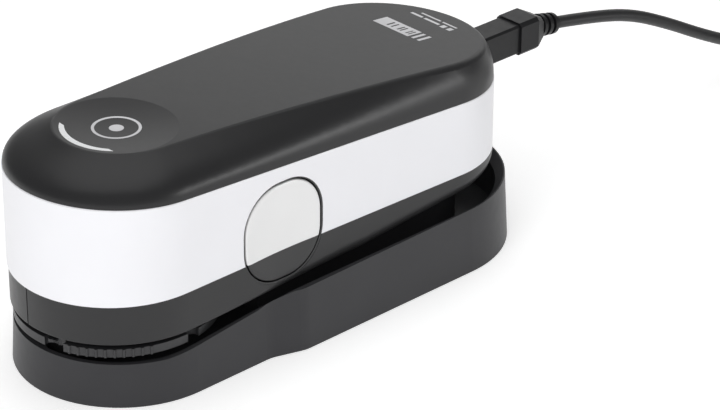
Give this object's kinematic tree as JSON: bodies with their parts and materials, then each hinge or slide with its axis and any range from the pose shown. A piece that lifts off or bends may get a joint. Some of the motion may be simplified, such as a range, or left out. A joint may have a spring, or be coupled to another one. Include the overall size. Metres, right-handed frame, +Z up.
{
  "type": "handheld spectrophotometer on calibration base",
  "caption": "Handheld colour-measuring instrument parked on its calibration base, with a round side button, lit thumb dimple, turning tile shutter and USB lead.",
  "frame": {"origin": "on the table, under the middle of the calibration base", "axes": "+Z up; +Y along the long axis from the measuring nose to the tail, where the lead leaves; +X towards the side with the round button"},
  "size_m": [0.0879, 0.3389, 0.0656],
  "materials": {
    "base_shell": "fine spark-eroded grain, charcoal",
    "base_cover": "fine grain, charcoal, underside",
    "steel": "turned and plated small fastenings",
    "foot_rubber": "matt moulded rubber",
    "pad_rubber": "matt moulded rubber",
    "holder_black": "matt black",
    "tile_ceramic": "glossy white calibration glaze",
    "shutter_grey": "fine grain, dark grey",
    "housing_black": "satin black, very fine grain",
    "band_silver": "silver paint over plastic, satin",
    "cover_charcoal": "soft-touch charcoal paint",
    "light_guide": "milky translucent light guide",
    "pad_slip": "low-friction black strip",
    "chassis_black": "light-absorbing black",
    "head_metal": "black anodised, fine turned marks",
    "lens_glass": "polished, coated",
    "lamp_white": "white reflector ring",
    "lamp_glass": "clear lamp envelope",
    "bench_metal": "black anodised casting",
    "mirror_front": "front-silvered",
    "slit_steel": "blackened foil",
    "grating_glass": "ruled and coated, faintly iridescent",
    "chip_black": "moulded epoxy",
    "board_green": "solder resist over glass-epoxy laminate",
    "post_nylon": "natural nylon",
    "socket_metal": "nickel-plated pressed shell",
    "button_black": "satin black",
    "button_silver": "silver paint, satin",
    "plunger_white": "acetal",
    "spring_wire": "drawn spring wire",
    "plug_black": "moulded vinyl, satin",
    "plug_metal": "nickel-plated shell",
    "cord_black": "extruded vinyl jacket",
    "tie_black": "soft coated tie"
  },
  "bodies": {
    "base": {"base_tray": "base_shell", "base_plate": "base_cover", "base_plate_screws": "steel", "base_feet": "foot_rubber", "rest_pads": "pad_rubber", "tile_holder": "holder_black", "white_tile": "tile_ceramic", "shutter_pivot": "steel", "shutter_washer": "steel"},
    "shutter": {"tile_shutter": "shutter_grey"},
    "instrument": {"lower_housing": "housing_black", "side_band": "band_silver", "top_cover": "cover_charcoal", "crescent_light_guide": "light_guide", "button_bezel": "button_black", "case_screws": "steel", "glide_pads": "pad_slip", "inner_chassis": "chassis_black", "measuring_head": "head_metal", "aperture_ring": "head_metal", "focus_lens": "lens_glass", "lamp_ring": "lamp_white", "lamp_bulb": "lamp_glass", "optics_bench": "bench_metal", "optics_lid": "bench_metal", "mirror_mount": "chassis_black", "fold_mirror": "mirror_front", "entrance_slit": "slit_steel", "diffraction_grating": "grating_glass", "sensor_array": "chip_black", "main_board": "board_green", "board_posts": "post_nylon", "board_chips": "chip_black", "usb_socket": "socket_metal", "switch_board": "board_green", "tact_switch": "chip_black"},
    "button": {"button_carrier": "button_black", "button_face": "button_silver", "switch_plunger": "plunger_white", "button_spring": "spring_wire"},
    "lead": {"usb_plug": "plug_black", "usb_plug_tip": "plug_metal", "strain_relief": "plug_black", "usb_cord": "cord_black", "usb_cord_end": "cord_black", "usb_cord_coil": "cord_black", "cord_tie": "tie_black", "far_plug_body": "plug_black", "far_plug_shell": "plug_metal", "far_strain_relief": "plug_black"}
  },
  "joints": [
    {"name": "shutter_turn", "type": "hinge", "parent": "base", "child": "shutter", "pos_m": [0, -0.0517, 0.01565], "axis": [0, 0, -1], "range_deg": [0, 90]},
    {"name": "instrument_lift", "type": "slide", "parent": "base", "child": "instrument", "axis": [0, 0, 1], "range_m": [0, 0.035]},
    {"name": "button_press", "type": "slide", "parent": "instrument", "child": "button", "axis": [-1, 0, 0], "range_m": [0, 0.001], "stiffness_N_per_m": 1500},
    {"name": "plug_pull", "type": "slide", "parent": "instrument", "child": "lead", "axis": [0, 1, 0], "range_m": [0, 0.01]}
  ]
}
